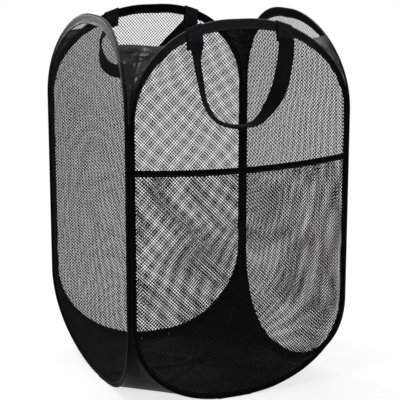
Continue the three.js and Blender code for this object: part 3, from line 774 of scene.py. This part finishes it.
strap_steps = 96
across_strap = [strap_width * k / 8 for k in range(9)]
for wall, lean, sway, squareness in (("front", 0, -6, (3.0, 2.1)), ("back", 30, 14, (2.1, 2.4))):
    line, length = strap_line(strap_steps, *squareness)
    hinge_y = wall_out(hinge_height) + hinge_out
    centres = []
    for i, (x, down) in enumerate(line):
        along = length * min(i, strap_steps - i) / strap_steps
        bulge = wall_out(hinge_height - down) - wall_out(hinge_height)
        bulge += strap_bulge * smooth_share(along, 0, 70)
        # Both legs of the front strap slant to the left
        slant = 0
        if wall == "front" and i < strap_steps / 2:
            slant = left_slant * smooth_share(along, 0, 40) * (1 - smooth_share(along, 80, 130))
        elif wall == "front":
            slant = right_slant * smooth_share(along, 0, 60) * (1 - smooth_share(along, 100, 165))
        centres.append(Vector((x - slant + sway * (down / strap_drop) ** 1.5, -bulge, -down)))
    rows = []
    for i, point in enumerate(centres):
        along = length * min(i, strap_steps - i) / strap_steps
        turn = math.radians(read_steps(along, STRAP_TURNS[wall][0 if i < strap_steps / 2 else 1]))
        tangent = (centres[min(i + 1, strap_steps)] - centres[max(i - 1, 0)]).normalized()
        away = tangent.cross(Vector((0, -1, 0))).normalized()
        wide = away * math.cos(turn) + Vector((0, -1, 0)) * math.sin(turn)
        face = tangent.cross(wide).normalized()
        cup = strap_cup * math.sin(i / 9)
        row = []
        for place in across_strap:
            across = place - strap_width / 2
            row.append(point + wide * across + face * cup * (1 - (across / (strap_width / 2)) ** 2))
        rows.append(row)
    tilt = Matrix.Rotation(math.radians(-lean), 3, "X")
    rows = [[tilt @ p + Vector((0, -hinge_y, hinge_height)) for p in row] for row in rows]
    runs = [length * i / strap_steps for i in range(strap_steps + 1)]
    strap = cloth(f"{wall}_handle_webbing", rows, runs, across_strap)
    if wall == "back":
        strap.data.transform(Matrix.Rotation(math.pi, 4, "Z"))
    thicken(strap, strap_thickness)
    dress(strap, strap_web)
    out = -1 if wall == "front" else 1
    start = Vector((0, out * hinge_y, hinge_height)) * MM
    hanging = Vector((0, out * math.sin(math.radians(lean)), -math.cos(math.radians(lean))))
    end = start + hanging * (bend_length * MM)
    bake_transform(strap)
    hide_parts(f"{wall}_handle_strap")

    for sideways, side in ((-1, "left"), (1, "right")):
        slope = anchor_normal.x / anchor_normal.y
        path = [(3.25, -fold_leg), (3.25, -20), (3.35, -10), (3.1, -3), (2.4, -0.4), (1.0, 0.75)]
        path = path + [(-q, p) for q, p in path[::-1]]
        rows = []
        for q, p in path:
            row = []
            for place in across_strap:
                across = place - strap_width / 2
                top = anchor_inside - sideways * slope * across
                row.append(on_wall(wall, sideways * strap_span + across, q, top + p))
            rows.append(row)
        run = [0]
        for a, b in zip(rows, rows[1:]):
            run.append(run[-1] + (b[4] - a[4]).length)
        fold = cloth(f"{wall}_handle_{side}_fold", rows, run, across_strap)
        thicken(fold, fold_thickness)
        dress(fold, sewn_painted_highlight_web)
        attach(fold, f"{wall}_wall")
        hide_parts(f"{wall}_handle_{side}_end")


# Floor, light and camera. The hamper stands on white paper that keeps its soft shadow. A plain
# white surround and five soft lamps light it, and the paper fades into the surround.
def white_where_seen(tree, plain, shown):
    rays = add_node(tree, "LightPath", {}).outputs
    seen = add_node(tree, "Math", {0: rays["Is Camera Ray"], 1: rays["Is Glossy Ray"]}, operation="MAXIMUM")
    seen = add_node(tree, "Math", {0: seen.outputs[0], 1: rays["Is Transmission Ray"]}, operation="MAXIMUM")
    return add_node(tree, "MixShader", {0: seen.outputs[0], 1: plain.outputs[0], 2: shown.outputs[0]})


bpy.ops.mesh.primitive_circle_add(vertices=96, radius=12, fill_type="NGON", location=(0, 0, -0.0005))
floor = bpy.context.object
floor.name = "studio_floor"
paper, tree, surface = new_material("white_paper")
surface.inputs["Base Color"].default_value = (0.8, 0.8, 0.8, 1)
surface.inputs["Roughness"].default_value = 1
place = add_node(tree, "TexCoord", {})
distance = add_node(tree, "VectorMath", {0: place.outputs["Object"]}, operation="LENGTH")
near = add_node(tree, "MapRange", {
    "Value": distance.outputs["Value"], "From Min": 0.5, "From Max": 1.6, "To Min": 1, "To Max": 0})
glow = add_node(tree, "Emission", {"Color": (1, 1, 1, 1), "Strength": 0.72})
lit = add_node(tree, "BsdfDiffuse", {"Color": (0.38, 0.38, 0.38, 1)})
shadowed = add_node(tree, "AddShader", {0: glow.outputs[0], 1: lit.outputs[0]})
white = add_node(tree, "Emission", {"Color": (1, 1, 1, 1), "Strength": 1})
shown = add_node(tree, "MixShader", {0: near.outputs["Result"], 1: white.outputs[0], 2: shadowed.outputs[0]})
seen = white_where_seen(tree, surface, shown)
tree.links.new(seen.outputs[0], tree.nodes["Material Output"].inputs["Surface"])
dress(floor, paper)

world = bpy.data.worlds.new("studio")
bpy.context.scene.world = world
world.use_nodes = True
tree = world.node_tree
surround = tree.nodes["Background"]
surround.inputs["Color"].default_value = (1, 1, 1, 1)
surround.inputs["Strength"].default_value = 0.5
backdrop = add_node(tree, "Background", {"Color": (1, 1, 1, 1), "Strength": 1})
seen = white_where_seen(tree, surround, backdrop)
tree.links.new(seen.outputs[0], tree.nodes["World Output"].inputs["Surface"])


# A square soft lamp that faces the hamper's middle, by its direction, distance, size and radiance
def soft_lamp(name, towards, distance, size, radiance):
    light = bpy.data.lights.new(name, "AREA")
    light.size = size
    light.energy = radiance * math.pi * size ** 2
    made = bpy.data.objects.new(name, light)
    bpy.context.scene.collection.objects.link(made)
    towards = Vector(towards).normalized()
    made.location = Vector((0, 0, 0.3)) + towards * distance
    made.rotation_euler = towards.to_track_quat("Z", "Y").to_euler()


soft_lamp("left_lamp", (-0.88, -0.4, 0.3), 2.2, 0.25, 64)
soft_lamp("back_left_lamp", (-0.42, 0.88, 0.24), 2.2, 0.25, 52)
soft_lamp("front_right_lamp", (0.75, -0.62, 0.5), 2.4, 0.7, 8)
soft_lamp("overhead_lamp", (0.1, 0.2, 1), 2.2, 1.4, 1)
soft_lamp("top_left_lamp", (-0.41, 0.15, 0.9), 2.2, 0.3, 30)

# The camera stands 2.2 m away, to the left of the front and a little above, with a long lens
azimuth, elevation = math.radians(-24.40), math.radians(12.64)
back = Matrix.Rotation(azimuth, 3, "Z") @ Vector((0, -math.cos(elevation), math.sin(elevation)))
camera = bpy.data.objects.new("camera", bpy.data.cameras.new("camera"))
bpy.context.scene.collection.objects.link(camera)
camera.location = Vector((0.01341, 0, 0.2915)) + back * 2.1979
camera.rotation_mode = "QUATERNION"
camera.rotation_quaternion = (-back).to_track_quat("-Z", "Y")
camera.data.sensor_width = 36
camera.data.lens = 116.739
camera.data.clip_end = 50
bpy.context.scene.camera = camera
bpy.context.scene.view_settings.view_transform = "Standard"
